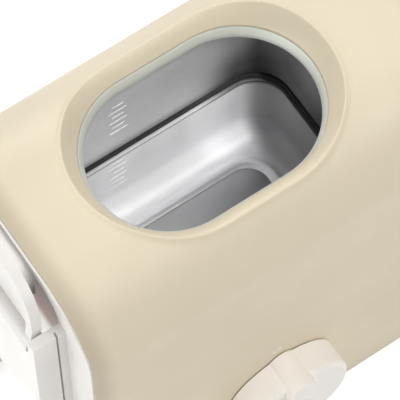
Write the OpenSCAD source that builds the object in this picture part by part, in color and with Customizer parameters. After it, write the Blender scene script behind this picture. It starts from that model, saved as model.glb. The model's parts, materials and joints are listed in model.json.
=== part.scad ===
// Countertop steam cooker base with an open steam tank in its top.
// Millimetres. X along the body, front at -Y, +Z up, feet stand on z = 0.

/* [Body] */
// Length of the outer shell along X
body_len = 210; // [160:1:300]
// Half of the body depth
body_half = 64; // [50:1:100]
// Height of the shell's flat top above the table
body_top = 241; // [180:1:300]
// Radius of the long top shoulders
shoulder_r = 40; // [15:1:60]
// Wall thickness of the shell
wall = 3; // [2:0.5:5]
// Distance by which each end panel stands out of the shell's rim
panel_proud = 1; // [0:0.5:6]
// Depth of the hollow in each end panel behind its latch
alcove_depth = 14; // [6:1:16]

/* [Tank] */
// Offset of the tank opening from the body centre
tank_x = -7; // [-20:1:20]
// Radius of the opening's round ends at the seal
mouth_r = 38.6; // [25:0.1:45]
// Half length of the opening's straight sides
mouth_s = 18.6; // [5:0.1:40]
// Height of the seal plane
seal_z = 228; // [160:1:280]
// Half length of the tank wall
tank_half_x = 61.5; // [50:0.5:70]
// Half width of the tank wall
tank_half_y = 38.5; // [34:0.5:46]
// Radius of the tank wall's upright corners
tank_corner = 18; // [10:0.5:30]
// Height of the seam between the two tank halves
seam_z = 158; // [120:1:200]
// Height of the tank floor
floor_z = 108; // [80:1:140]
// Thickness of the tank sheet
sheet = 1; // [0.6:0.1:2]

/* [Controls] */
// Knob centre along X
knob_x = -6.5; // [-40:1:40]
// Knob centre height
knob_z = 60; // [40:1:120]
// Knob radius
knob_r = 30; // [15:0.5:35]
// Depth of the knob's disc in front of the shell
knob_depth = 15.5; // [10:0.5:25]
// Distance by which the grip bar stands out of the disc
bar_out = 4; // [0:0.5:12]

/* [Latches] */
// Half width of a latch paddle
latch_half = 36; // [20:1:40]
// Height of the latch pivots
pivot_z = 208; // [180:1:220]
// Lowest point of a latch paddle
latch_low = 122; // [80:1:160]
// Radius of the latch's upper corners
arch_r = 22; // [10:1:30]
// Lean of the latch's upper arch towards the shell
arch_lean = 10; // [0:1:20]

/* [Hidden] */
$fn = 96;
eps = 0.01;
shell_low = 5;
half_len = body_len / 2;
panel_face = half_len + panel_proud;
panel_t = 4;
alcove_top = 214;
pocket_r = 13;
alcove_wall = 3;
fin_y = 37;
fin_t = 5;
fin_out = 122.5;
fin_top = 216;
latch_x = 118.5;
latch_t = 5;
pin_r = 2;
pin_in = 3.5;
run_gap = 0.05;
flange_w = 14;
corner_at = [tank_half_x - tank_corner, tank_half_y - tank_corner];
knob_gap = 0.6;
bar_r = 7.5;
gland_out = 3;
mid_y = (knob_gap + knob_depth + bar_out - gland_out) / 2;
gasket_t = 2;
post_y = 49;
post_x = 30;
shield_z = 78;
lead_x = tank_x + 34;
lead_y = [-10, -26];
base_t = 3;
board_x = 64;
board_z = 22;
board_half = [24, 28];
hole_inset = 4;
foot_x = 78;
foot_y = 46;
gland_x = 60;
gland_z = 30;
switch_half = 17;
bush_r = 5;
shaft_r = 3;
corners = [[1, 1], [1, -1], [-1, 1], [-1, -1]];

// Moves the body back so that the overall box is centred in depth
module in_frame() {
    translate([0, mid_y, 0])
        children();
}

// Outline of the body's cross-section in YZ, drawn in by a given amount
module body_outline(inset, low) {
    r = shoulder_r - inset;
    flat = body_half - shoulder_r;
    shoulder_z = body_top - shoulder_r;
    translate([-(body_half - inset), low])
        square([2 * (body_half - inset), shoulder_z - low]);
    for (side = [-1, 1])
        translate([side * flat, shoulder_z])
            circle(r);
    translate([-flat, shoulder_z - eps])
        square([2 * flat, r + eps]);
}

// Prism along X with a YZ outline
module along_x(x0, length) {
    translate([x0, 0, 0])
        rotate([90, 0, 90])
            linear_extrude(length)
                children();
}

// Ring that follows the tank's stadium plan; the child is a radial section in X and Z
module stadium_ring() {
    translate([tank_x, 0, 0]) {
        translate([mouth_s, 0, 0])
            rotate([0, 0, -90])
                rotate_extrude(angle = 180)
                    children();
        translate([-mouth_s, 0, 0])
            rotate([0, 0, 90])
                rotate_extrude(angle = 180)
                    children();
        for (side = [0, 180])
            rotate([0, 0, side])
                translate([-mouth_s, 0, 0])
                    rotate([90, 0, 90])
                        linear_extrude(2 * mouth_s)
                            children();
    }
}

// Solid with the tank's stadium plan
module stadium_block(r, z0, z1) {
    stadium_ring()
        translate([0, z0])
            square([r, z1 - z0]);
}

// Ring about the tank's middle with rounded corners; the child is a section outward from the corner centres
module rounded_ring(centre) {
    turns = [[1, 1], [-1, 1], [-1, -1], [1, -1]];
    translate([tank_x, 0, 0]) {
        for (i = [0 : 3])
            translate([turns[i][0] * centre[0], turns[i][1] * centre[1], 0])
                rotate([0, 0, 90 * i])
                    rotate_extrude(angle = 90)
                        children();
        for (turn = [0, 180])
            rotate([0, 0, turn]) {
                translate([centre[0], centre[1], 0])
                    rotate([90, 0, 0])
                        linear_extrude(2 * centre[1])
                            children();
                translate([-centre[0], centre[1], 0])
                    rotate([90, 0, 90])
                        linear_extrude(2 * centre[0])
                            children();
            }
    }
}

// Ring that follows the tank's rounded plan
module tank_ring() {
    rounded_ring(corner_at)
        children();
}

// Solid with the tank's rounded plan
module tank_block(r, z0, z1) {
    tank_ring()
        translate([0, z0])
            square([r, z1 - z0]);
    translate([tank_x - corner_at[0], -corner_at[1], z0])
        cube([2 * corner_at[0], 2 * corner_at[1], z1 - z0]);
}

module at_corners(x, y) {
    for (c = corners)
        translate([c[0] * x, c[1] * y, 0])
            children();
}

module at_posts() {
    translate([tank_x, 0, 0])
        at_corners(post_x, post_y)
            children();
}

module at_board() {
    translate([board_x, 0, 0])
        at_corners(board_half[0] - hole_inset, board_half[1] - hole_inset)
            children();
}

// Loaf-shaped shell with a funnel round the tank's mouth
module outer_shell() {
    color("wheat") in_frame() {
        difference() {
            union() {
                difference() {
                    along_x(-half_len, body_len)
                        body_outline(0, shell_low);
                    along_x(-half_len - 1, body_len + 2)
                        body_outline(wall, shell_low - 1);
                }
                intersection() {
                    along_x(-half_len, body_len)
                        body_outline(0, shell_low);
                    stadium_block(mouth_r + 11, seal_z - 1, body_top);
                }
            }
            stadium_ring()
                polygon([[0, seal_z - 3], [mouth_r + 1, seal_z - 3], [mouth_r + 1, seal_z + 1],
                    [mouth_r + 7.3, body_top + 1], [0, body_top + 1]]);
            translate([knob_x, -body_half + wall + 1, knob_z])
                rotate([90, 0, 0])
                    cylinder(r = bush_r + 0.2, h = wall + 2);
            translate([gland_x, body_half + 1, gland_z])
                rotate([90, 0, 0])
                    cylinder(r = 7.2, h = wall + 2);
        }
    }
}

// Outline of the hollow behind a latch, with a round pocket at each upper corner, in Y and Z
module alcove_outline(grow, low) {
    half = latch_half + grow;
    translate([-half, low])
        square([2 * half, alcove_top + grow - low]);
    for (side = [-1, 1])
        translate([side * (latch_half - pocket_r), alcove_top + 2])
            circle(pocket_r + grow);
}

// Outline of the ledge behind an arch, with round upper corners
module ledge_outline(half, low, high) {
    corner = 11;
    translate([-half, low])
        square([2 * half, high - corner - low]);
    translate([-half + corner, low])
        square([2 * (half - corner), high - low]);
    for (side = [-1, 1])
        translate([side * (half - corner), high - corner])
            circle(r = corner);
}

// White end panel with a hollow and two upright fins that carry a latch; built for the left end
module end_panel() {
    low = shell_low + base_t;
    ledge_gap = 0.6;
    ledge_half = 20;
    ledge_low = 10;
    ledge_high = 28;
    groove_at = 5;
    groove_w = 1;
    groove_d = 2.5;
    color("whitesmoke") in_frame()
        difference() {
            union() {
                along_x(-panel_face, panel_t + panel_proud)
                    body_outline(wall + 0.2, low);
                along_x(-panel_face, alcove_depth + alcove_wall)
                    alcove_outline(alcove_wall, low);
                for (side = [-1, 1])
                    translate([-fin_out, side * (fin_y + fin_t / 2) - fin_t / 2, low])
                        cube([fin_out - panel_face + eps, fin_t, fin_top - low]);
                translate([-latch_x, 0, pivot_z])
                    rotate([0, arch_lean, 0])
                        along_x(latch_t / 2 + ledge_gap, 8)
                            ledge_outline(ledge_half, ledge_low, ledge_high);
            }
            along_x(-panel_face - 1, alcove_depth + 1)
                alcove_outline(0, low - 1);
            for (side = [-1, 1])
                translate([-panel_face - groove_at, side * (fin_y + fin_t) - groove_d, low - 1])
                    cube([groove_w, 2 * groove_d, fin_top - low + 2]);
            for (side = [-1, 1])
                translate([-latch_x, side * fin_y, pivot_z])
                    rotate([90, 0, 0])
                        cylinder(r = pin_r, h = 2 * pin_in, center = true);
        }
}

module left_end_panel() {
    end_panel();
}

module right_end_panel() {
    mirror([1, 0, 0])
        end_panel();
}

module base_plate() {
    plate_half = panel_face - alcove_depth;
    color("lightgray") in_frame()
        difference() {
            translate([-plate_half, -body_half + wall + 0.2, shell_low])
                cube([2 * plate_half, 2 * (body_half - wall - 0.2), base_t]);
            at_corners(foot_x, foot_y)
                translate([0, 0, shell_low - 1])
                    cylinder(r = 2.05, h = base_t + 2);
        }
}

module rubber_feet() {
    color("dimgray") in_frame()
        at_corners(foot_x, foot_y)
            difference() {
                cylinder(r = 9, h = shell_low);
                translate([0, 0, -1])
                    cylinder(r = 4.5, h = 3);
                cylinder(r = 2.05, h = shell_low + 1);
            }
}

module base_screws() {
    color("silver") in_frame()
        at_corners(foot_x, foot_y) {
            translate([0, 0, 0.5])
                cylinder(r = 4, h = 1.5);
            translate([0, 0, 2 - eps])
                cylinder(r = 2, h = shell_low + base_t + 2);
        }
}

module tank_seal() {
    color("gainsboro") in_frame()
        stadium_ring()
            polygon([[mouth_r - 2.5, seal_z - 1], [mouth_r + 0.9, seal_z - 1], [mouth_r + 0.9, seal_z + 2],
                [mouth_r, seal_z + 2], [mouth_r, seal_z + 0.6], [mouth_r - 2.5, seal_z + 0.6]]);
}

// Upper half of the tank: collar under the seal, shoulder, wall and flange
module tank_upper() {
    shoulder_z = seal_z - 6;
    flange_z = seam_z + gasket_t;
    color("silver") in_frame()
        difference() {
            union() {
                stadium_block(mouth_r + 3, seal_z - 1 - sheet, seal_z - 1);
                stadium_block(mouth_r - 2 + sheet, shoulder_z - sheet, seal_z - 1);
                tank_block(tank_corner + sheet, flange_z, shoulder_z);
                tank_block(tank_corner + flange_w, flange_z, flange_z + sheet);
            }
            stadium_block(mouth_r - 2, flange_z, seal_z);
            tank_block(tank_corner, flange_z - 1, shoulder_z - sheet);
            at_posts()
                translate([0, 0, seam_z])
                    cylinder(r = 2.05, h = 6);
        }
}

// Lower half of the tank: flange, wall, rounded corner and a floor with a raised step
module tank_lower() {
    bottom_r = 10;
    in_r = tank_corner - 1.5;
    step_at = [31, 7];
    step_w = 3;
    step_h = 2;
    step_r = 12;
    color("silver") in_frame()
        difference() {
            union() {
                tank_block(tank_corner + flange_w, seam_z - sheet, seam_z);
                tank_block(in_r + sheet, floor_z + bottom_r, seam_z);
                tank_block(in_r - bottom_r, floor_z - sheet, floor_z + bottom_r + eps);
                tank_ring()
                    bottom_section(in_r - bottom_r, bottom_r + sheet, floor_z + bottom_r);
            }
            tank_block(in_r, floor_z + bottom_r, seam_z + 1);
            difference() {
                tank_block(in_r - bottom_r, floor_z, floor_z + bottom_r + eps);
                rounded_ring(step_at)
                    translate([step_r, floor_z - 1])
                        square([step_w, step_h + 1]);
            }
            tank_ring()
                bottom_section(in_r - bottom_r, bottom_r, floor_z + bottom_r);
            at_posts()
                translate([0, 0, seam_z - 3])
                    cylinder(r = 2.05, h = 6);
        }
}

// Quarter-round section of the tank's bottom edge
module bottom_section(x, r, z) {
    intersection() {
        translate([x, z])
            circle(r);
        translate([x - eps, z - r])
            square([r + eps, r + eps]);
    }
}

module seam_gasket() {
    color("dimgray") in_frame()
        difference() {
            tank_ring()
                translate([tank_corner, seam_z])
                    square([flange_w, gasket_t]);
            at_posts()
                translate([0, 0, seam_z - 1])
                    cylinder(r = 2.05, h = gasket_t + 2);
        }
}

// Stepped posts that carry the tank; the step carries the heat shield
module tank_posts() {
    color("whitesmoke") in_frame()
        at_posts()
            difference() {
                union() {
                    translate([0, 0, shell_low + base_t])
                        cylinder(r = 6.5, h = shield_z - shell_low - base_t);
                    translate([0, 0, shield_z - eps])
                        cylinder(r = 4.5, h = seam_z - sheet - shield_z + eps);
                }
                translate([0, 0, seam_z - 20])
                    cylinder(r = 2.05, h = 20);
            }
}

module tank_screws() {
    screw_z = seam_z + gasket_t + sheet;
    color("silver") in_frame()
        at_posts() {
            translate([0, 0, screw_z])
                cylinder(r = 3.6, h = 2.4);
            translate([0, 0, screw_z - 16])
                cylinder(r = 2, h = 16 + eps);
        }
}

module heating_plate() {
    color("darkgray") in_frame()
        stadium_block(26, floor_z - sheet - 6, floor_z - sheet);
}

// Sheathed element bent to a horseshoe under the heating plate
module heater_element() {
    ring_r = 20;
    tube_r = 3.5;
    low = floor_z - sheet - 6 - tube_r;
    color("dimgray") in_frame()
        translate([tank_x, 0, low]) {
            rotate([0, 0, -60])
                rotate_extrude(angle = 300)
                    translate([ring_r, 0])
                        circle(tube_r);
            for (turn = [-60, 240])
                rotate([0, 0, turn])
                    translate([ring_r, 0, -7])
                        cylinder(r = tube_r, h = 7);
        }
}

module heater_terminals() {
    low = floor_z - sheet - 6 - 3.5 - 7;
    color("gold") in_frame()
        translate([tank_x, 0, low - 5])
            for (turn = [-60, 240])
                rotate([0, 0, turn])
                    translate([20 - 0.5, -2.5, 0])
                        cube([1, 5, 5]);
}

module thermostat() {
    top = floor_z - sheet - 6;
    color("black") in_frame()
        translate([tank_x, 0, top - 9]) {
            cylinder(r = 9, h = 6);
            cylinder(r = 7, h = 9);
        }
}

module thermal_fuse() {
    color("silver") in_frame()
        translate([tank_x + 28, 0, floor_z - sheet - 6 - 2.5])
            rotate([90, 0, 0])
                cylinder(r = 2.5, h = 16, center = true);
}

module heat_shield() {
    color("silver") in_frame()
        difference() {
            translate([tank_x - 55, -56, shield_z])
                cube([110, 112, 1]);
            at_posts()
                translate([0, 0, shield_z - 1])
                    cylinder(r = 4.55, h = 3);
            for (y = lead_y)
                translate([lead_x, y, shield_z - 1])
                    cylinder(r = 4, h = 3);
        }
}

// Round knob with a grip bar that has round ends and reaches past its rim
module control_knob() {
    edge = 2;
    reach = knob_r + 3 - bar_r;
    color("snow") in_frame()
        translate([knob_x, -body_half - knob_gap, knob_z])
            rotate([90, 0, 0])
                difference() {
                    union() {
                        cylinder(r = knob_r, h = knob_depth - edge);
                        translate([0, 0, knob_depth - edge - eps])
                            cylinder(r1 = knob_r, r2 = knob_r - edge, h = edge);
                        linear_extrude(knob_depth + bar_out) {
                            translate([-bar_r, -reach])
                                square([2 * bar_r, 2 * reach]);
                            for (end = [-1, 1])
                                translate([0, end * reach])
                                    circle(bar_r);
                        }
                    }
                    translate([0, 0, -1])
                        cylinder(r = 10, h = 7);
                    translate([0, 0, 5])
                        cylinder(r = shaft_r, h = 9);
                }
}

module switch_shaft() {
    color("silver") in_frame()
        translate([knob_x, -body_half - 14, knob_z])
            rotate([-90, 0, 0])
                cylinder(r = shaft_r, h = 34);
}

module switch_body() {
    front = -body_half + wall;
    color("dimgray") in_frame()
        difference() {
            union() {
                translate([knob_x - switch_half, front, knob_z - switch_half])
                    cube([2 * switch_half, 22, 2 * switch_half]);
                translate([knob_x, front + eps, knob_z])
                    rotate([90, 0, 0])
                        cylinder(r = bush_r, h = wall + 4);
            }
            translate([knob_x, front + 18, knob_z])
                rotate([90, 0, 0])
                    cylinder(r = shaft_r + run_gap, h = 40);
        }
}

module switch_nut() {
    color("silver") in_frame()
        translate([knob_x, -body_half, knob_z])
            rotate([90, 0, 0])
                difference() {
                    cylinder(r = 8, h = 2.5, $fn = 6);
                    translate([0, 0, -1])
                        cylinder(r = bush_r, h = 5);
                }
}

module control_board() {
    color("darkgreen") in_frame()
        difference() {
            translate([board_x - board_half[0], -board_half[1], board_z])
                cube([2 * board_half[0], 2 * board_half[1], 1.6]);
            at_board()
                translate([0, 0, board_z - 1])
                    cylinder(r = 1.5, h = 4);
        }
}

module board_standoffs() {
    color("whitesmoke") in_frame()
        at_board()
            difference() {
                translate([0, 0, shell_low + base_t])
                    cylinder(r = 3.5, h = board_z - shell_low - base_t);
                translate([0, 0, board_z - 8])
                    cylinder(r = 1.5, h = 9);
            }
}

module board_screws() {
    color("silver") in_frame()
        at_board() {
            translate([0, 0, board_z + 1.6])
                cylinder(r = 2.8, h = 1.8);
            translate([0, 0, board_z - 6])
                cylinder(r = 1.45, h = 7.6 + eps);
        }
}

module board_relay() {
    color("black") in_frame()
        translate([board_x - 8, -8, board_z + 1.6])
            cube([18, 15, 15]);
}

module terminal_block() {
    color("ivory") in_frame()
        translate([gland_x - 20, 36, shell_low + base_t])
            cube([30, 12, 12]);
}

// Insulated lead from the terminal block up to one heater terminal
module lead(start_x, run_y, run_z, end_x) {
    wire_r = 1.4;
    joint_r = wire_r + 0.05;
    top = floor_z - sheet - 6 - 3.5 - 7 - 5 - joint_r;
    points = [[start_x, 42, shell_low + base_t + 12 + joint_r], [start_x, 42, run_z],
        [lead_x, run_y, run_z], [lead_x, run_y, top], [end_x, -17.3, top]];
    for (i = [0 : len(points) - 2]) {
        step = points[i + 1] - points[i];
        length = norm(step);
        translate(points[i])
            rotate([0, acos(step[2] / length), atan2(step[1], step[0])])
                cylinder(r = wire_r, h = length);
    }
    for (point = points)
        translate(point)
            sphere(r = joint_r);
}

module live_lead() {
    color("brown") in_frame()
        lead(gland_x - 8, lead_y[0], 56, tank_x + 10);
}

module neutral_lead() {
    color("royalblue") in_frame()
        lead(gland_x + 8, lead_y[1], 46, tank_x - 10);
}

module cord_gland() {
    color("black") in_frame()
        translate([gland_x, body_half, gland_z])
            rotate([-90, 0, 0])
                difference() {
                    union() {
                        cylinder(r = 10, h = gland_out);
                        translate([0, 0, -wall - 6])
                            cylinder(r = 7, h = wall + 6 + eps);
                    }
                    translate([0, 0, -wall - 7])
                        cylinder(r = 4, h = wall + 12);
                }
}

module gland_nut() {
    color("black") in_frame()
        translate([gland_x, body_half - wall, gland_z])
            rotate([90, 0, 0])
                difference() {
                    cylinder(r = 11, h = 4, $fn = 6);
                    translate([0, 0, -1])
                        cylinder(r = 7, h = 6);
                }
}

// Outline of a latch above or below its pivot, in Y and Z about the pivot
module latch_outline(upper, inset) {
    half = latch_half - inset;
    rise = body_top - 3 - pivot_z - inset;
    drop = pivot_z - latch_low - inset;
    r = arch_r - inset;
    if (upper) {
        difference() {
            translate([-half, 0])
                square([2 * half, rise]);
            for (side = [-1, 1])
                difference() {
                    translate([side * half - r, rise - r])
                        square([2 * r, 2 * r]);
                    translate([side * (half - r), rise - r])
                        circle(r);
                    translate([side * (half - 2 * r) - r, rise - 2 * r])
                        square([2 * r, 4 * r]);
                }
        }
    } else {
        translate([0, -drop + half])
            circle(half);
        translate([-half, -drop + half])
            square([2 * half, drop - half]);
    }
}

// Rocker latch: plain paddle below the pivots, arch with a raised rim and a thin web above
module latch() {
    rim = 4.5;
    web = 2;
    color("white") in_frame()
        translate([-latch_x, 0, pivot_z])
            difference() {
                union() {
                    along_x(-latch_t / 2, latch_t)
                        latch_outline(false, 0);
                    rotate([0, arch_lean, 0])
                        difference() {
                            along_x(-latch_t / 2, latch_t)
                                latch_outline(true, 0);
                            along_x(-latch_t / 2 - 1, latch_t - web + 1)
                                translate([0, -1])
                                    latch_outline(true, rim);
                        }
                    rotate([90, 0, 0])
                        cylinder(r = 5, h = 2 * (fin_y - 0.3), center = true);
                }
                for (side = [-1, 1])
                    translate([0, side * (fin_y - 4), 0])
                        rotate([90, 0, 0])
                            cylinder(r = pin_r + run_gap, h = 14, center = true);
            }
}

module left_latch() {
    latch();
}

module right_latch() {
    mirror([1, 0, 0])
        latch();
}

module latch_pins() {
    color("silver") in_frame()
        for (side = [-1, 1])
            translate([-latch_x, side * fin_y, pivot_z])
                rotate([90, 0, 0])
                    cylinder(r = pin_r, h = 2 * pin_in, center = true);
}

module left_latch_pins() {
    latch_pins();
}

module right_latch_pins() {
    mirror([1, 0, 0])
        latch_pins();
}

outer_shell();
left_end_panel();
right_end_panel();
base_plate();
rubber_feet();
base_screws();
tank_seal();
tank_upper();
tank_lower();
seam_gasket();
tank_posts();
tank_screws();
heating_plate();
heater_element();
heater_terminals();
thermostat();
thermal_fuse();
heat_shield();
control_knob();
switch_shaft();
switch_body();
switch_nut();
control_board();
board_standoffs();
board_screws();
board_relay();
terminal_block();
live_lead();
neutral_lead();
cord_gland();
gland_nut();
left_latch();
right_latch();
left_latch_pins();
right_latch_pins();
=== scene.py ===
import json
import math

import bmesh
import bpy
from mathutils import Matrix, Vector


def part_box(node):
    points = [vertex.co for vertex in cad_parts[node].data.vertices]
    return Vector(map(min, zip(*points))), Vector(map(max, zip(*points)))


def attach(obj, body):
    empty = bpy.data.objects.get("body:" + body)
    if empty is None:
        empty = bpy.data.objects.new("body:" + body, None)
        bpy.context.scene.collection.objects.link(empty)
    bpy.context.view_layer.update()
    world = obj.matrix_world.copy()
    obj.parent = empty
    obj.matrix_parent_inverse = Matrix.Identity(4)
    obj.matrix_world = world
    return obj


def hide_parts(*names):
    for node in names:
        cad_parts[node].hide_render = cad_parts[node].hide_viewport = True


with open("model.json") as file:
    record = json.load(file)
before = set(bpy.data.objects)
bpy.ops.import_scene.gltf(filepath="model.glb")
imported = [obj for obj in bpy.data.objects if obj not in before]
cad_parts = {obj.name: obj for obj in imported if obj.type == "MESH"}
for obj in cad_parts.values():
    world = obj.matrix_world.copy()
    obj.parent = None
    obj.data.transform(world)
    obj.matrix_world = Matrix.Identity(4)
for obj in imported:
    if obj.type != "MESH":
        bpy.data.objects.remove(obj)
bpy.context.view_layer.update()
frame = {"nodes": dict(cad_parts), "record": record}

bl_info = {
    "name": "Steam Cooker Base",
    "version": (1, 0, 0),
    "blender": (4, 5, 0),
    "location": "View3D > Sidebar > Cooker",
    "description": "Builds the looks of a countertop steam cooker base on its packed frame",
    "category": "Object",
}

NODES = frame["nodes"]
SLOT_OF = {row["node"]: row["material_slot"] for row in frame["record"]["subparts"]}
MM = 0.001

SHELL_LOW, SHELL_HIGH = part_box("outer_shell")
SEAL_LOW, SEAL_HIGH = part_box("tank_seal")
KNOB_LOW, KNOB_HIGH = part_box("control_knob")
SEAL_EDGE = 0.9 * MM  # the seal's outer edge, past the mouth's radius
SEAL_LIP = 2 * MM  # the seal's lip, above the seat
MOUTH_R = (SEAL_HIGH[1] - SEAL_LOW[1]) / 2 - SEAL_EDGE
MOUTH_S = (SEAL_HIGH[0] - SEAL_LOW[0]) / 2 - SEAL_EDGE - MOUTH_R
TANK_X = (SEAL_LOW[0] + SEAL_HIGH[0]) / 2
SEAL_Z = SEAL_HIGH[2] - SEAL_LIP
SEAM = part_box("seam_gasket")[0][2] / MM  # in millimetres, as are the tank's sections
MID_Y = (SHELL_LOW[1] + SHELL_HIGH[1]) / 2
TANK_PLAN = (61.5, 38.5, 18.0)  # half length, half depth and corner of the tank's wall, mm
FLANGE = 13.5  # reach of the tank's flanges past the wall, mm
SHELL_WALL = 2.4 * MM
TANK_SHEET = 0.8 * MM
LIP_BEAD = 0.9 * MM
LIP_BEAD_WIDTH = 1.5 * MM
LIP_ROUND = 0.88  # share of the funnel that is straight
RIM_POWER = 2.2  # how late the rolled rim turns in
BEVEL_ANGLE = math.radians(35)
# Painted shade: tone multiplied into the cream on the rolled rims at both ends of the shell
RIM_SHADE_TONE = (0.74, 0.72, 0.71)
# Painted shade: warm dark tone in the hollow behind each latch, on the white end panels
HOLLOW_SHADE_TONE = (0.52, 0.34, 0.30)
# Painted shade: level of the tank steel in its upper right corner, above the seam
CORNER_SHADE_LEVEL = 0.16


class CookerSizes(bpy.types.PropertyGroup):
    """Sizes that a user would change."""

    shoulder: bpy.props.FloatProperty(
        name="Shoulder", description="Radius of the shell's long shoulders",
        default=40 * MM, unit="LENGTH")
    rim_width: bpy.props.FloatProperty(
        name="Rim width", description="Width of the rolled rim at each end of the shell",
        default=15 * MM, unit="LENGTH")
    rim_depth: bpy.props.FloatProperty(
        name="Rim depth", description="How far the rolled rim turns in",
        default=2.6 * MM, unit="LENGTH")
    lip_width: bpy.props.FloatProperty(
        name="Lip width", description="Width of the funnel between the seal and the crest of the lip",
        default=7.3 * MM, unit="LENGTH")


class CookerColours(bpy.types.PropertyGroup):
    """Colours of the finishes, in linear light."""

    cream: bpy.props.FloatVectorProperty(
        name="Cream", description="Moulded shell", subtype="COLOR", default=(0.79, 0.705, 0.53))
    white: bpy.props.FloatVectorProperty(
        name="White", description="End panels and latches", subtype="COLOR", default=(0.86, 0.84, 0.81))
    knob: bpy.props.FloatVectorProperty(
        name="Knob", description="Control knob", subtype="COLOR", default=(0.96, 0.92, 0.88))
    steel: bpy.props.FloatVectorProperty(
        name="Steel", description="Tank sheet", subtype="COLOR", default=(0.72, 0.72, 0.73))
    silicone: bpy.props.FloatVectorProperty(
        name="Silicone", description="Mouth seal", subtype="COLOR", default=(0.70, 0.73, 0.66))


# Finishes


def new_finish(name, colour, roughness, metallic=0.0):
    """A principled material with its node tree ready for detail."""
    mat = bpy.data.materials.new(name)
    mat.use_nodes = True
    shader = mat.node_tree.nodes["Principled BSDF"]
    shader.inputs["Base Color"].default_value = (*colour, 1)
    shader.inputs["Roughness"].default_value = roughness
    shader.inputs["Metallic"].default_value = metallic
    return mat, mat.node_tree, shader


def noise_field(tree, scale, detail=3.0, stretch=(1, 1, 1)):
    """Noise over the object's own coordinates."""
    coord = tree.nodes.new("ShaderNodeTexCoord")
    mapping = tree.nodes.new("ShaderNodeMapping")
    mapping.inputs["Scale"].default_value = stretch
    noise = tree.nodes.new("ShaderNodeTexNoise")
    noise.inputs["Scale"].default_value = scale
    noise.inputs["Detail"].default_value = detail
    tree.links.new(coord.outputs["Object"], mapping.inputs["Vector"])
    tree.links.new(mapping.outputs["Vector"], noise.inputs["Vector"])
    return noise.outputs["Fac"]


def spread(tree, field, low, high):
    """Field stretched to a range of values."""
    node = tree.nodes.new("ShaderNodeMapRange")
    node.inputs["From Min"].default_value = 0.3
    node.inputs["From Max"].default_value = 0.7
    node.inputs["To Min"].default_value = low
    node.inputs["To Max"].default_value = high
    tree.links.new(field, node.inputs["Value"])
    return node.outputs["Result"]


def grain(tree, shader, field, distance, strength):
    """Fine relief from a field."""
    bump = tree.nodes.new("ShaderNodeBump")
    bump.inputs["Strength"].default_value = strength
    bump.inputs["Distance"].default_value = distance
    tree.links.new(field, bump.inputs["Height"])
    tree.links.new(bump.outputs["Normal"], shader.inputs["Normal"])


def tint(tree, shader, field, dark, light):
    """Base colour that drifts between two close tones."""
    ramp = tree.nodes.new("ShaderNodeValToRGB")
    ramp.color_ramp.elements[0].position = 0.3
    ramp.color_ramp.elements[1].position = 0.7
    ramp.color_ramp.elements[0].color = (*dark, 1)
    ramp.color_ramp.elements[1].color = (*light, 1)
    tree.links.new(field, ramp.inputs["Fac"])
    tree.links.new(ramp.outputs["Color"], shader.inputs["Base Color"])


def falloff(tree, axis, start, end, both_sides=False):
    """Smooth rise from 0 to 1 along one of the object's own axes."""
    coord = tree.nodes.new("ShaderNodeTexCoord")
    parts = tree.nodes.new("ShaderNodeSeparateXYZ")
    node = tree.nodes.new("ShaderNodeMapRange")
    node.interpolation_type = "SMOOTHSTEP"
    node.inputs["From Min"].default_value = start
    node.inputs["From Max"].default_value = end
    tree.links.new(coord.outputs["Object"], parts.inputs[0])
    value = parts.outputs[axis]
    if both_sides:
        size = tree.nodes.new("ShaderNodeMath")
        size.operation = "ABSOLUTE"
        tree.links.new(value, size.inputs[0])
        value = size.outputs[0]
    tree.links.new(value, node.inputs["Value"])
    return node.outputs["Result"]


def product(tree, first, second):
    """Field that is high only where two others are."""
    node = tree.nodes.new("ShaderNodeMath")
    node.operation = "MULTIPLY"
    tree.links.new(first, node.inputs[0])
    tree.links.new(second, node.inputs[1])
    return node.outputs[0]


def tone(tree, shader, field, colour):
    """Multiplies the base colour by a tone where a field is high."""
    mix = tree.nodes.new("ShaderNodeMix")
    mix.data_type = "RGBA"
    mix.blend_type = "MULTIPLY"
    mix.inputs[7].default_value = (*colour, 1)
    before = shader.inputs["Base Color"].links[0].from_socket
    tree.links.new(field, mix.inputs[0])
    tree.links.new(before, mix.inputs[6])
    tree.links.new(mix.outputs[2], shader.inputs["Base Color"])


def grey(level):
    return (level, level, level)


def scaled(colour, factor):
    return tuple(min(1.0, c * factor) for c in colour)


def moulded(name, colour, roughness=0.42):
    """Satin moulded plastic with spark-eroded grain and slightly uneven gloss."""
    mat, tree, shader = new_finish(name, colour, roughness)
    tint(tree, shader, noise_field(tree, 18, 2), scaled(colour, 0.975), scaled(colour, 1.02))
    tree.links.new(spread(tree, noise_field(tree, 60), roughness - 0.05, roughness + 0.06),
                   shader.inputs["Roughness"])
    grain(tree, shader, noise_field(tree, 2200, 2), 0.00006, 0.25)
    return mat


def brushed(name, colour, roughness, stretch, contrast=0.10, metallic=1.0):
    """Sheet steel with fine lines along one direction and cloudy wear."""
    mat, tree, shader = new_finish(name, colour, roughness, metallic)
    lines = noise_field(tree, 900, 3, stretch)
    clouds = noise_field(tree, 55, 4)
    mix = tree.nodes.new("ShaderNodeMath")
    mix.operation = "MULTIPLY_ADD"
    mix.inputs[1].default_value = 0.55
    tree.links.new(clouds, mix.inputs[0])
    half = tree.nodes.new("ShaderNodeMath")
    half.operation = "MULTIPLY"
    half.inputs[1].default_value = 0.45
    tree.links.new(lines, half.inputs[0])
    tree.links.new(half.outputs[0], mix.inputs[2])
    field = mix.outputs[0]
    tint(tree, shader, field, scaled(colour, 1 - contrast), scaled(colour, 1 + contrast))
    tree.links.new(spread(tree, field, roughness - 0.05, roughness + 0.07), shader.inputs["Roughness"])
    grain(tree, shader, lines, 0.00001, 0.15)
    return mat


def plain(name, colour, roughness, metallic=0.0):
    """Finish of a hidden piece, with a little unevenness."""
    mat, tree, shader = new_finish(name, colour, roughness, metallic)
    tree.links.new(spread(tree, noise_field(tree, 120), roughness - 0.06, roughness + 0.08),
                   shader.inputs["Roughness"])
    return mat


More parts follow.
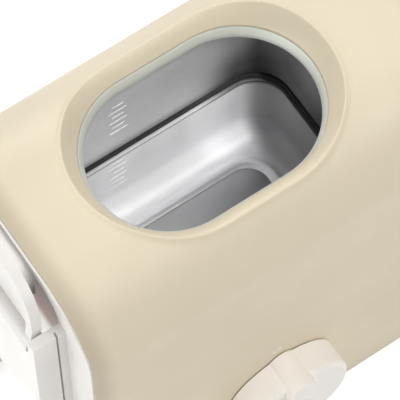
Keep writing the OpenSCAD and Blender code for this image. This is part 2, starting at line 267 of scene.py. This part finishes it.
def soft_ring(name, colour):
    """Translucent silicone."""
    mat, tree, shader = new_finish(name, colour, 0.35)
    shader.inputs["Subsurface Weight"].default_value = 0.35
    shader.inputs["Subsurface Radius"].default_value = (0.004, 0.004, 0.004)
    shader.inputs["Subsurface Scale"].default_value = 0.6
    tree.links.new(spread(tree, noise_field(tree, 200), 0.28, 0.42), shader.inputs["Roughness"])
    return mat


def cream_finish(name, colour):
    """Cream moulding with painted shade towards the rolled rims."""
    mat = moulded(name, colour, 0.50)
    tree = mat.node_tree
    end = SHELL_HIGH[0]
    # Painted shade over the last millimetres before each end of the shell
    rim = falloff(tree, 0, end - 12 * MM, end - 1 * MM, True)
    tone(tree, tree.nodes["Principled BSDF"], rim, RIM_SHADE_TONE)
    return mat


def panel_finish(name, colour):
    """White moulding with warm painted shade in the hollow behind a latch."""
    mat = moulded(name, colour, 0.38)
    tree = mat.node_tree
    end = SHELL_HIGH[0]
    # Painted shade where the panel lies deep behind the latch and high up
    deep = falloff(tree, 0, end - 2 * MM, end - 9 * MM, True)
    high = falloff(tree, 2, 106 * MM, 122 * MM)
    tone(tree, tree.nodes["Principled BSDF"], product(tree, deep, high), HOLLOW_SHADE_TONE)
    return mat


def tank_finish(name, colour, roughness, metallic, end_shade_level, edges):
    """Tank steel with painted shade at its right end, in its upper right corner and along given edges."""
    mat = brushed(name, colour, roughness, UPRIGHT_LINES, 0.05, metallic)
    tree = mat.node_tree
    shader = tree.nodes["Principled BSDF"]
    # Painted shade on the tank's right end
    tone(tree, shader, falloff(tree, 0, TANK_X + 45 * MM, TANK_X + 55 * MM), grey(end_shade_level))
    # Painted shade in the upper right corner, above the seam
    corner = product(tree, falloff(tree, 0, TANK_X + 14 * MM, TANK_X + 46 * MM),
                     falloff(tree, 2, (SEAM + 52) * MM, (SEAM + 14) * MM))
    above = falloff(tree, 2, (SEAM - 6) * MM, (SEAM + 1) * MM)
    tone(tree, shader, product(tree, corner, above), grey(CORNER_SHADE_LEVEL))
    # Bands of painted shade, by the seam and under the seal
    for start, end, level in edges:
        tone(tree, shader, falloff(tree, 2, start * MM, end * MM), grey(level))
    return mat


FINISHES = {}
UPRIGHT_LINES = (0.02, 0.02, 1)  # stretch of the steel's noise


def finish_for(slot):
    """The material of a slot, made once."""
    if not FINISHES:
        colours = bpy.context.scene.cooker_colours
        sheet = scaled(colours.steel, 1.3)
        seal = SEAL_Z / MM
        FINISHES.update({
            "shell_cream": cream_finish("cream moulding", colours.cream),
            "white_plastic": moulded("white moulding", colours.white, 0.38),
            "panel_white": panel_finish("panel moulding", colours.white),
            "knob_white": moulded("knob moulding", colours.knob, 0.36),
            "base_grey": moulded("grey moulding", (0.55, 0.54, 0.52), 0.5),
            "rubber_grey": plain("foot rubber", (0.02, 0.02, 0.02), 0.8),
            "silicone": soft_ring("mouth silicone", colours.silicone),
            # In both tank finishes the last number is the level of painted shade at the right end and the
            # tuples are bands of painted shade by the seam and under the seal
            "tank_steel": tank_finish("tank steel", sheet, 0.45, 0.6, 0.20,
                                      ((SEAM + 14, SEAM + 3, 0.25), (seal - 14, seal - 5, 0.75))),
            "tank_satin": tank_finish("satin tank steel", sheet, 0.5, 0.2, 0.34,
                                      ((SEAM - 6, SEAM - 1, 0.45),)),
            "floor_steel": brushed("tank floor steel", scaled(colours.steel, 0.45), 0.42,
                                   UPRIGHT_LINES, 0.05),
            "screw_steel": plain("plated steel", (0.55, 0.55, 0.56), 0.35, 1.0),
            "cast_alu": plain("cast aluminium", (0.60, 0.60, 0.60), 0.5, 1.0),
            "brass": plain("terminal brass", (0.70, 0.52, 0.22), 0.35, 1.0),
            "black_plastic": plain("black plastic", (0.012, 0.012, 0.012), 0.5),
            "board_green": plain("board laminate", (0.02, 0.09, 0.04), 0.3),
            "wire_brown": plain("brown insulation", (0.09, 0.03, 0.012), 0.5),
            "wire_blue": plain("blue insulation", (0.02, 0.06, 0.30), 0.5),
        })
    return FINISHES[slot]


# Meshes


def piece(name, verts, faces, slot, body, nodes=(), smooth=True, finish=None):
    """A new piece that rides on a body and may stand for CAD nodes."""
    mesh = bpy.data.meshes.new(name)
    mesh.from_pydata([tuple(v) for v in verts], [], faces)
    work = bmesh.new()
    work.from_mesh(mesh)
    bmesh.ops.recalc_face_normals(work, faces=work.faces)
    work.to_mesh(mesh)
    work.free()
    if smooth:
        mesh.shade_smooth()
    else:
        mesh.shade_flat()
    obj = bpy.data.objects.new(name, mesh)
    bpy.context.scene.collection.objects.link(obj)
    mesh.materials.append(finish_for(finish or slot))
    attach(obj, body)
    if nodes:
        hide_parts(*nodes)
    return obj


def dress(node, bevel=0.0, segments=3, finish=None):
    """Finish and soft edges on a CAD node that keeps its shape."""
    obj = NODES[node]
    obj.data.materials.clear()
    obj.data.materials.append(finish_for(finish or SLOT_OF[node]))
    if bevel:
        edge = obj.modifiers.new("soft edges", "BEVEL")
        edge.width = bevel
        edge.segments = segments
        edge.limit_method = "ANGLE"
        edge.angle_limit = BEVEL_ANGLE
        edge.harden_normals = True


ARC_STEPS = 24
RUN_STEPS = 14


def ring_points(half_x, half_y, corner, height):
    """Rounded rectangle about the tank's middle, in millimetres; the counts never change."""
    turns = ((1, 1), (-1, 1), (-1, -1), (1, -1))
    flat = []
    for q, (sx, sy) in enumerate(turns):
        cx, cy = sx * (half_x - corner), sy * (half_y - corner)
        for i in range(ARC_STEPS + 1):
            a = (q + i / ARC_STEPS) * math.pi / 2
            flat.append((cx + corner * math.cos(a), cy + corner * math.sin(a)))
        nx, ny = turns[(q + 1) % 4]
        a = (q + 1) * math.pi / 2
        end = (nx * (half_x - corner) + corner * math.cos(a),
               ny * (half_y - corner) + corner * math.sin(a))
        start = flat[-1]
        for i in range(1, RUN_STEPS):
            w = i / RUN_STEPS
            flat.append((start[0] + (end[0] - start[0]) * w, start[1] + (end[1] - start[1]) * w))
    return [Vector((TANK_X + x * MM, MID_Y + y * MM, height * MM)) for x, y in flat]


def mouth_ring(radius, height):
    """Ring that follows the stadium of the tank's mouth."""
    return ring_points(MOUTH_S / MM + radius, radius, radius - 0.05, height)


def wall_ring(grow, height):
    """Ring that follows the rounded plan of the tank's wall, moved out by a distance."""
    return ring_points(TANK_PLAN[0] + grow, TANK_PLAN[1] + grow, TANK_PLAN[2] + grow, height)


def loft(rings, closed=False):
    """Vertices and quads that join rings of equal count."""
    verts = [p for ring in rings for p in ring]
    n = len(rings[0])
    faces = []
    total = len(rings)
    for k in range(total if closed else total - 1):
        a, b = k * n, (k + 1) % total * n
        for i in range(n):
            j = (i + 1) % n
            faces.append((a + i, a + j, b + j, b + i))
    return verts, faces


def arc_points(cx, cz, r, start, end, steps):
    """Section points on an arc, in millimetres and degrees."""
    out = []
    for i in range(steps + 1):
        a = math.radians(start + (end - start) * i / steps)
        out.append((cx + r * math.cos(a), cz + r * math.sin(a)))
    return out


# Shell


class ShellSurface:
    """The shell's outer skin over distance along X and arc length round the section."""

    def __init__(self, sizes):
        self.half = SHELL_HIGH[1] - MID_Y
        self.top = SHELL_HIGH[2]
        self.low = SHELL_LOW[2]
        self.end = SHELL_HIGH[0]
        self.r = sizes.shoulder
        self.flat = self.half - self.r
        self.bend = self.r * math.pi / 2
        self.reach = self.flat + self.bend + (self.top - self.r - self.low)
        self.rim_w = sizes.rim_width
        self.rim_d = sizes.rim_depth

    def arc_of(self, y):
        """Arc length of a plan distance from the middle."""
        a = abs(y)
        if a > self.flat:
            a = self.flat + self.r * math.asin(min(1.0, (a - self.flat) / self.r))
        return math.copysign(a, y)

    def at(self, x, t):
        """Point on the skin, with the rolled rims at both ends."""
        a, side = abs(t), math.copysign(1, t)
        if a <= self.flat:
            y, z, n = a, self.top, (0, 1)
        elif a <= self.flat + self.bend:
            turn = (a - self.flat) / self.r
            n = (math.sin(turn), math.cos(turn))
            y, z = self.flat + self.r * n[0], self.top - self.r + self.r * n[1]
        else:
            y, z, n = self.half, self.top - self.r - (a - self.flat - self.bend), (1, 0)
        over = max(0.0, abs(x) - (self.end - self.rim_w)) / self.rim_w
        sink = self.rim_d * min(1.0, over) ** RIM_POWER
        return Vector((x, MID_Y + side * (y - sink * n[0]), z - sink * n[1]))


class COOKER_OT_shell(bpy.types.Operator):
    """Build the loaf-shaped shell with its funnel lip and rolled rims"""

    bl_idname = "cooker.shell"
    bl_label = "Outer Shell"

    def execute(self, context):
        sizes = context.scene.cooker_sizes
        skin = ShellSurface(sizes)
        count = 72
        inner_r = MOUTH_R + 0.4 * MM
        crest_r = inner_r + sizes.lip_width
        quarters = ((1, 1), (-1, 1), (-1, -1), (1, -1))

        def on_mouth(u, radius):
            turn = 0.62
            if u <= turn:
                a = u / turn * math.pi / 2
                return MOUTH_S + radius * math.cos(a), radius * math.sin(a)
            return MOUTH_S * (1 - (u - turn) / (1 - turn)), radius

        def on_edge(u, x_side):
            reach_x = skin.end - x_side * TANK_X
            if u <= 0.5:
                return reach_x, skin.reach * (u / 0.5) ** 1.35
            return reach_x * (1 - (u - 0.5) / 0.5), skin.reach

        plan = []
        for q, (sx, sy) in enumerate(quarters):
            for i in range(count):
                u = i / count
                if q % 2:
                    u = 1 - u
                plan.append((u, sx, sy))
        rings = []
        steps = 20
        for k in range(steps + 1):
            w = k / steps
            w = 1 - (1 - w) ** 1.5
            radius = inner_r + (crest_r - inner_r) * w
            ring = []
            for u, sx, sy in plan:
                px, py = on_mouth(u, radius)
                x, y = TANK_X + sx * px, sy * py
                base = skin.at(x, skin.arc_of(y)).z
                z0 = SEAL_Z + 1.0 * MM
                ring.append(Vector((x, MID_Y + y, z0 + (base + LIP_BEAD - z0) * self.lip_rise(w))))
            rings.append(ring)
        outer = 84
        for k in range(1, outer + 1):
            s = k / outer
            s = 0.5 * s * s + 0.5 * (1 - math.cos(math.pi * s)) / 2
            ring = []
            for u, sx, sy in plan:
                mx, my = on_mouth(u, crest_r)
                ex, et = on_edge(u, sx)
                mt = skin.arc_of(my)
                x = TANK_X + sx * (mx + (ex - mx) * s)
                t = sy * (mt + (et - mt) * s)
                point = skin.at(x, t)
                away = math.hypot((ex - mx) * s, (et - mt) * s)
                point.z += LIP_BEAD * math.exp(-(away / LIP_BEAD_WIDTH) ** 2)
                ring.append(point)
            rings.append(ring)
        verts, faces = loft(rings)
        shell = piece("shell_skin", verts, faces, "shell_cream", "base", ("outer_shell",))
        thick = shell.modifiers.new("wall", "SOLIDIFY")
        thick.thickness = SHELL_WALL
        thick.offset = -1
        return {"FINISHED"}

    def lip_rise(self, w):
        """Straight funnel wall that rounds over near the crest."""
        rest = 1 - LIP_ROUND
        slope = 1 / (1 - rest / 2)
        if w <= LIP_ROUND:
            return slope * w
        over = (w - LIP_ROUND) / rest
        return slope * (LIP_ROUND + rest * (over - over * over / 2))


class COOKER_OT_tank(bpy.types.Operator):
    """Build the two halves of the steel tank with their rolled seam"""

    bl_idname = "cooker.tank"
    bl_label = "Steam Tank"

    def execute(self, context):
        seal = SEAL_Z / MM
        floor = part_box("tank_lower")[0][2] / MM + 1
        mouth = MOUTH_R / MM - 1.6
        self.upper(seal, SEAM, mouth)
        self.lower(SEAM, floor)
        self.level_marks("level_marks_upper", "tank_steel", -20, 195, 0.0)
        self.level_marks("level_marks_lower", "tank_satin", -22, 139, -0.6)
        for node in ("seam_gasket", "tank_posts", "tank_screws"):
            dress(node)
        return {"FINISHED"}

    def upper(self, seal, seam, mouth):
        """Collar under the seal, rounded shoulder, wall and flange."""
        low = seam + 2.1
        rings = [mouth_ring(mouth + 4, seal - 3.2), mouth_ring(mouth, seal - 3.2)]
        rings.append(mouth_ring(mouth, seal - 4.6))
        for w in (0.15, 0.4, 0.7, 1.0):
            rings.append(mouth_ring(mouth + w, seal - 4.6 - 0.8 * w ** 2))
        for x, z in arc_points(-0.5, seal - 5.9, 0.5, 90, 0, 8):
            rings.append(wall_ring(x, z))
        rings += [wall_ring(0, z) for z in (seal - 30, (seal + seam) / 2, low + 9, low + 6)]
        rings += [wall_ring(x, z) for x, z in arc_points(5, low + 5, 5, 180, 270, 8)]
        rings += [wall_ring(FLANGE, low), wall_ring(FLANGE, low + 0.9), wall_ring(5.0, low + 0.9)]
        rings += [wall_ring(2.2, low + 2.4), wall_ring(0.9, low + 6), wall_ring(0.9, seal - 6.5)]
        for x, z in arc_points(-0.5, seal - 5.9, 1.4, 0, 80, 6):
            rings.append(wall_ring(x, z))
        rings += [mouth_ring(mouth + 1.0, seal - 4.4), mouth_ring(mouth + 4, seal - 4.2)]
        verts, faces = loft(rings, closed=True)
        piece("tank_upper_sheet", verts, faces, "tank_steel", "base", ("tank_upper",))

    def lower(self, seam, floor):
        """Lip, wall, round bottom edge and a floor with a pressed step."""
        inset, corner = -0.6, 11.0
        rings = [wall_ring(FLANGE, seam - 0.9), wall_ring(FLANGE, seam)]
        rings += [wall_ring(x, z) for x, z in arc_points(-0.7, seam - 1.0, 1.0, 90, 230, 9)]
        rings += [wall_ring(inset + 0.2, seam - 2.6), wall_ring(inset, seam - 4)]
        rings += [wall_ring(inset, z) for z in (seam - 16, floor + corner + 14, floor + corner + 3)]
        bottom = arc_points(inset - corner, floor + corner, corner, 0, -90, 12)
        rings += [wall_ring(x, z) for x, z in bottom]
        step = ((3.3, 0.02), (2.2, 0.3), (1.5, 1.2), (0.9, 1.8), (0.3, 2.0), (-0.7, 2.0), (-1.5, 1.8),
                (-2.0, 1.2), (-2.5, 0.3), (-3.4, 0.02))
        for out, rise in step:
            rings.append(ring_points(46.4 + out, 23.4 + out, 15.5 + out, floor + rise))
        verts, faces = loft(rings)
        count = len(rings[0])
        faces.append(tuple(range(len(verts) - count, len(verts))))
        tank = piece("tank_lower_sheet", verts, faces, "tank_steel", "base", ("tank_lower",),
                     finish="tank_satin")
        thick = tank.modifiers.new("sheet", "SOLIDIFY")
        thick.thickness = TANK_SHEET
        thick.offset = -1
        rings = [ring_points(42.9 - back, 19.9 - back, 12.0 - back, floor + rise)
                 for back, rise in ((0, 0.03), (0.4, 0.2), (1.2, 0.3))]
        verts, faces = loft(rings)
        faces.append(tuple(range(len(verts) - count, len(verts))))
        faces.append(tuple(reversed(range(count))))
        piece("tank_floor_disc", verts, faces, "tank_steel", "base", finish="floor_steel")

    def level_marks(self, name, finish, x, z, grow):
        """Stack of short pressed dashes on the back wall."""
        verts, faces = [], []
        back = MID_Y + (TANK_PLAN[1] + grow) * MM
        dashes, pitch, high = 6, 5.0, 0.6
        for k in range(dashes):
            wide = 5.0 if k % 2 == 0 else 3.4
            cz = z + pitch * (k - (dashes - 1) / 2)
            start = len(verts)
            for y, shrink in ((back + 0.3 * MM, 0.0), (back - 0.1 * MM, 0.3)):
                for sx, sz in ((-1, -1), (1, -1), (1, 1), (-1, 1)):
                    px, pz = x + sx * (wide - shrink), cz + sz * (high - shrink)
                    verts.append((TANK_X + px * MM, y, pz * MM))
            faces += [tuple(start + i for i in quad) for quad in
                      ((0, 1, 2, 3), (4, 7, 6, 5), (0, 4, 5, 1), (1, 5, 6, 2), (2, 6, 7, 3), (3, 7, 4, 0))]
        piece(name, verts, faces, "tank_steel", "base", smooth=False, finish=finish)


class COOKER_OT_seal(bpy.types.Operator):
    """Build the sloped silicone ring at the tank's mouth"""

    bl_idname = "cooker.seal"
    bl_label = "Mouth Seal"

    def execute(self, context):
        seal = SEAL_Z / MM
        mouth = MOUTH_R / MM
        section = [(mouth + 0.9, seal + 0.4), (mouth + 0.5, seal + 0.5), (mouth + 0.1, seal + 0.2),
                   (mouth - 0.5, seal - 1.2), (mouth - 1.4, seal - 2.6), (mouth - 1.9, seal - 4.4),
                   (mouth - 1.95, seal - 5.0), (mouth - 1.65, seal - 5.0), (mouth - 1.62, seal - 3.18),
                   (mouth + 0.9, seal - 3.15)]
        verts, faces = loft([mouth_ring(r, z) for r, z in section], closed=True)
        piece("seal_ring", verts, faces, "silicone", "base", ("tank_seal",))
        return {"FINISHED"}


class COOKER_OT_knob(bpy.types.Operator):
    """Dress the control knob and print its off mark"""

    bl_idname = "cooker.knob"
    bl_label = "Control Knob"

    def execute(self, context):
        dress("control_knob", 1.6 * MM, 5)
        dress("switch_shaft")
        x = (KNOB_LOW[0] + KNOB_HIGH[0]) / 2 - 2 * MM
        front = SHELL_LOW[1]
        z = KNOB_HIGH[2] + 6.5 * MM
        outer, inner, count = 2.6 * MM, 1.5 * MM, 40
        verts = []
        for y in (front - 0.05 * MM, front + 0.3 * MM):
            for r in (outer, inner):
                for i in range(count):
                    a = 2 * math.pi * i / count
                    verts.append((x + r * math.cos(a), y, z + r * math.sin(a)))
        faces = []
        order = (0, 1, 3, 2)
        for k in range(4):
            a, b = order[k] * count, order[(k + 1) % 4] * count
            for i in range(count):
                j = (i + 1) % count
                faces.append((a + i, a + j, b + j, b + i))
        piece("off_mark", verts, faces, "white_plastic", "base", finish="knob_white")
        return {"FINISHED"}


class COOKER_OT_ends(bpy.types.Operator):
    """Dress the end panels, their latches and pins"""

    bl_idname = "cooker.ends"
    bl_label = "Ends and Latches"

    def execute(self, context):
        for side in ("left", "right"):
            dress(side + "_end_panel", 1.6 * MM, 4, "panel_white")
            dress(side + "_latch", 2.0 * MM, 4)
            dress(side + "_latch_pins")
        return {"FINISHED"}


class COOKER_OT_inside(bpy.types.Operator):
    """Dress the base, the feet and everything held inside"""

    bl_idname = "cooker.inside"
    bl_label = "Base and Inside"

    def execute(self, context):
        for node in ("base_plate", "rubber_feet"):
            dress(node, 0.6 * MM)
        for node in ("base_screws", "heating_plate", "heater_element", "heater_terminals", "thermostat",
                     "thermal_fuse", "heat_shield", "switch_body", "switch_nut", "control_board",
                     "board_standoffs", "board_screws", "board_relay", "terminal_block", "live_lead",
                     "neutral_lead", "cord_gland", "gland_nut"):
            dress(node)
        return {"FINISHED"}


# Stage

CAMERA_AZIMUTH = 34.01
CAMERA_ELEVATION = 66.0
CAMERA_FOCAL_PX = 2947.4
CAMERA_SHIFT = (1.396, -31.183, 1280.85)
IMAGE_PX = 400
SENSOR = 36.0
CLIP_START = 0.05
WORLD_LIGHT = 0.29
FLOOR_GLOW = 0.5
FLOOR_HALF = 4.0
MIDDLE = (0, 0, 0.2)
# Name, place, aim, size, power and colour
SOFT_BOXES = (
    ("top_box", (0.35, -0.66, 1.45), MIDDLE, 0.8, 7.4, (1, 0.985, 0.96)),
    ("front_box", (0.70, -0.82, 1.28), MIDDLE, 0.75, 3.6, (1, 0.975, 0.955)),
    ("back_box", (0.3, 1.1, 1.1), MIDDLE, 0.9, 10.5, (1, 1, 1)),
    ("left_box", (-1.2, 0.06, 0.45), (-0.1, 0, 0.15), 0.8, 7, (1, 1, 1)),
)
# Distance along the tank in millimetres, and power
TANK_SPOTS = ((-34, 8.8), (-16, 8.8), (2, 10), (20, 15.5), (38, 26.5))
SPOT_AIM = (37 * MM, 147 * MM)  # back from the middle, and height
SPOT_PLACE = Vector((0, -0.38, 0.925))  # from the aim
SPOT_CONE = math.radians(3.0)
SPOT_SOFT = 4 * MM


def lamp(name, kind, place, aim, power):
    """Lamp aimed at a point; returns its data."""
    data = bpy.data.lights.new(name, kind)
    data.energy = power
    obj = bpy.data.objects.new(name, data)
    obj.location = place
    obj.rotation_euler = (Vector(aim) - Vector(place)).to_track_quat("-Z", "Y").to_euler()
    bpy.context.scene.collection.objects.link(obj)
    return data


def seen_rays(tree):
    """1 for rays that show the background: straight, mirrored or through a clear piece."""
    path = tree.nodes.new("ShaderNodeLightPath")
    value = path.outputs["Is Camera Ray"]
    for kind in ("Is Glossy Ray", "Is Transmission Ray"):
        node = tree.nodes.new("ShaderNodeMath")
        node.operation = "MAXIMUM"
        tree.links.new(value, node.inputs[0])
        tree.links.new(path.outputs[kind], node.inputs[1])
        value = node.outputs[0]
    return value


class COOKER_OT_stage(bpy.types.Operator):
    """Set the floor, the soft light and the camera"""

    bl_idname = "cooker.stage"
    bl_label = "Stage"

    def execute(self, context):
        scene = context.scene
        scene.view_settings.view_transform = "Standard"
        self.floor()
        self.world(scene)
        for name, place, aim, size, power, colour in SOFT_BOXES:
            data = lamp(name, "AREA", place, aim, power)
            data.size = size
            data.color = colour
        self.tank_lamps()
        self.camera(scene)
        return {"FINISHED"}

    def tank_lamps(self):
        """Row of narrow spots that shine through the mouth on to the tank's lower back wall."""
        for k, (x, power) in enumerate(TANK_SPOTS):
            aim = Vector((TANK_X + x * MM, MID_Y + SPOT_AIM[0], SPOT_AIM[1]))
            data = lamp("tank_spot_%d" % k, "SPOT", aim + SPOT_PLACE, aim, power)
            data.spot_size = SPOT_CONE
            data.spot_blend = 0.8
            data.shadow_soft_size = SPOT_SOFT

    def floor(self):
        """Pale floor that keeps the shadow and shows as white."""
        mesh = bpy.data.meshes.new("floor")
        corners = ((-1, -1), (1, -1), (1, 1), (-1, 1))
        mesh.from_pydata([(sx * FLOOR_HALF, sy * FLOOR_HALF, 0) for sx, sy in corners], [], [(0, 1, 2, 3)])
        obj = bpy.data.objects.new("floor", mesh)
        bpy.context.scene.collection.objects.link(obj)
        mat = bpy.data.materials.new("pale floor")
        mat.use_nodes = True
        tree = mat.node_tree
        shader = tree.nodes["Principled BSDF"]
        shader.inputs["Base Color"].default_value = (0.86, 0.86, 0.86, 1)
        shader.inputs["Roughness"].default_value = 0.8
        glow = tree.nodes.new("ShaderNodeEmission")
        level = tree.nodes.new("ShaderNodeMath")
        level.operation = "MULTIPLY"
        level.inputs[1].default_value = FLOOR_GLOW
        tree.links.new(seen_rays(tree), level.inputs[0])
        tree.links.new(level.outputs[0], glow.inputs["Strength"])
        both = tree.nodes.new("ShaderNodeAddShader")
        tree.links.new(shader.outputs[0], both.inputs[0])
        tree.links.new(glow.outputs[0], both.inputs[1])
        tree.links.new(both.outputs[0], tree.nodes["Material Output"].inputs["Surface"])
        mesh.materials.append(mat)

    def world(self, scene):
        """White backdrop that lights the object at a lower level."""
        world = bpy.data.worlds.new("studio")
        scene.world = world
        world.use_nodes = True
        tree = world.node_tree
        sky = tree.nodes["Background"]
        sky.inputs["Color"].default_value = (1, 1, 1, 1)
        level = tree.nodes.new("ShaderNodeMapRange")
        level.inputs["To Min"].default_value = WORLD_LIGHT
        level.inputs["To Max"].default_value = 1.0
        tree.links.new(seen_rays(tree), level.inputs["Value"])
        tree.links.new(level.outputs["Result"], sky.inputs["Strength"])

    def camera(self, scene):
        """The photo's camera, placed about the middle of the seal."""
        a, e = math.radians(CAMERA_AZIMUTH), math.radians(CAMERA_ELEVATION)
        ahead = Vector((math.sin(a) * math.cos(e), math.cos(a) * math.cos(e), -math.sin(e)))
        right = Vector((math.cos(a), -math.sin(a), 0))
        down = ahead.cross(right)
        tx, ty, depth = CAMERA_SHIFT
        place = -(right * tx + down * ty + ahead * depth) * MM + Vector((TANK_X, MID_Y, SEAL_Z))
        data = bpy.data.cameras.new("photo_camera")
        data.sensor_width = SENSOR
        data.lens = CAMERA_FOCAL_PX * SENSOR / IMAGE_PX
        data.clip_start = CLIP_START
        obj = bpy.data.objects.new("photo_camera", data)
        turn = Matrix((right, -down, -ahead)).transposed()
        obj.matrix_world = Matrix.Translation(place) @ turn.to_4x4()
        scene.collection.objects.link(obj)
        scene.camera = obj


OPERATORS = (COOKER_OT_shell, COOKER_OT_tank, COOKER_OT_seal, COOKER_OT_knob, COOKER_OT_ends,
             COOKER_OT_inside, COOKER_OT_stage)


class COOKER_PT_panel(bpy.types.Panel):
    """Lists the pieces and the values behind them"""

    bl_idname = "COOKER_PT_panel"
    bl_label = "Steam Cooker Base"
    bl_space_type = "VIEW_3D"
    bl_region_type = "UI"
    bl_category = "Cooker"

    def draw(self, context):
        for group in (context.scene.cooker_sizes, context.scene.cooker_colours):
            for key in group.__annotations__:
                self.layout.prop(group, key)
        for operator in OPERATORS:
            self.layout.operator(operator.bl_idname)


CLASSES = (CookerSizes, CookerColours, *OPERATORS, COOKER_PT_panel)


def register():
    for cls in CLASSES:
        bpy.utils.register_class(cls)
    bpy.types.Scene.cooker_sizes = bpy.props.PointerProperty(type=CookerSizes)
    bpy.types.Scene.cooker_colours = bpy.props.PointerProperty(type=CookerColours)


def unregister():
    del bpy.types.Scene.cooker_colours
    del bpy.types.Scene.cooker_sizes
    for cls in reversed(CLASSES):
        bpy.utils.unregister_class(cls)


def main():
    register()
    bpy.ops.cooker.shell()
    bpy.ops.cooker.tank()
    bpy.ops.cooker.seal()
    bpy.ops.cooker.knob()
    bpy.ops.cooker.ends()
    bpy.ops.cooker.inside()
    bpy.ops.cooker.stage()


if __name__ == "__main__":
    main()
